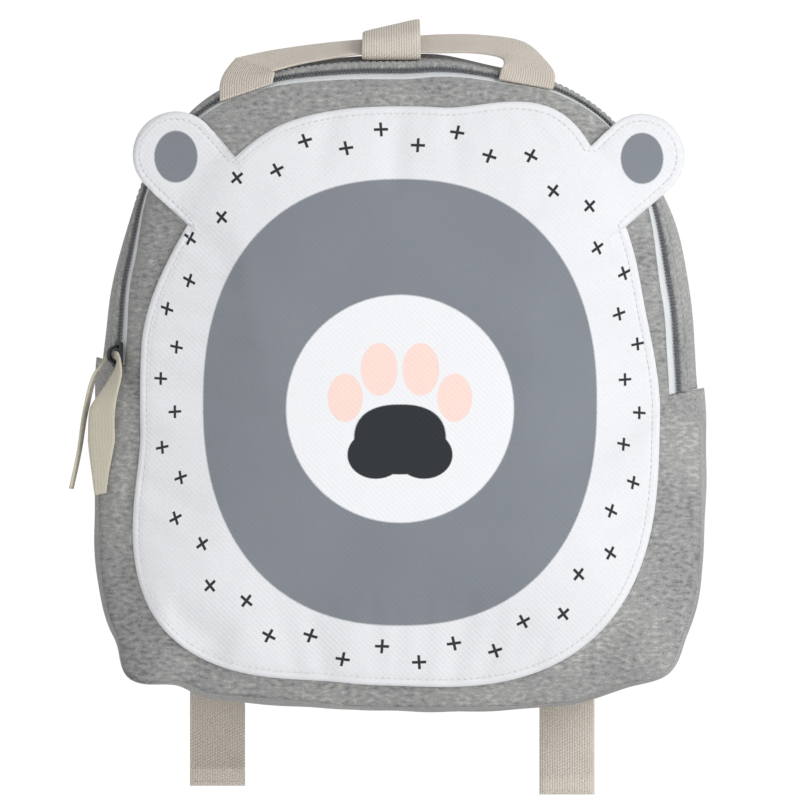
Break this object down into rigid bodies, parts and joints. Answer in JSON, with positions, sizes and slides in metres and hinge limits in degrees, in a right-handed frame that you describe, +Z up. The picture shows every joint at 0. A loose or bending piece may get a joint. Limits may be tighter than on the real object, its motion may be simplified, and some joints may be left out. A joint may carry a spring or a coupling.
{
  "type": "child's backpack",
  "caption": "Small soft backpack with a domed front, a sewn-on panel with two ear tabs, a zip over the top, a carry handle, a hang loop and padded shoulder straps.",
  "frame": {"origin": "the inner face of the hang loop at its highest place, where a hook bears", "axes": "+Z up as the bag hangs, -Y towards the viewer of its front, +X to the right as one looks at the front"},
  "size_m": [0.2921, 0.1405, 0.3587],
  "materials": {
    "jersey": "heathered grey jersey",
    "applique": "white cotton with a matte print",
    "webbing": "beige cotton webbing",
    "zip_tape": "white woven tape",
    "zip_coil": "dark nylon coil",
    "zip_metal": "black enamel",
    "pull_tape": "cream cotton tape",
    "adjuster": "beige moulded plastic"
  },
  "bodies": {
    "root": {"front_panel": "jersey", "back_panel": "jersey", "gusset_top": "jersey", "gusset_lower": "jersey", "applique_panel": "applique", "zip_tape": "zip_tape", "zip_coil": "zip_coil", "zip_slider": "zip_metal", "zip_pull": "pull_tape", "carry_handle": "webbing", "hang_loop": "webbing", "shoulder_strap_left": "jersey", "shoulder_strap_right": "jersey", "lower_webbing_left": "webbing", "lower_webbing_right": "webbing", "adjuster_left": "adjuster", "adjuster_right": "adjuster"}
  },
  "joints": []
}
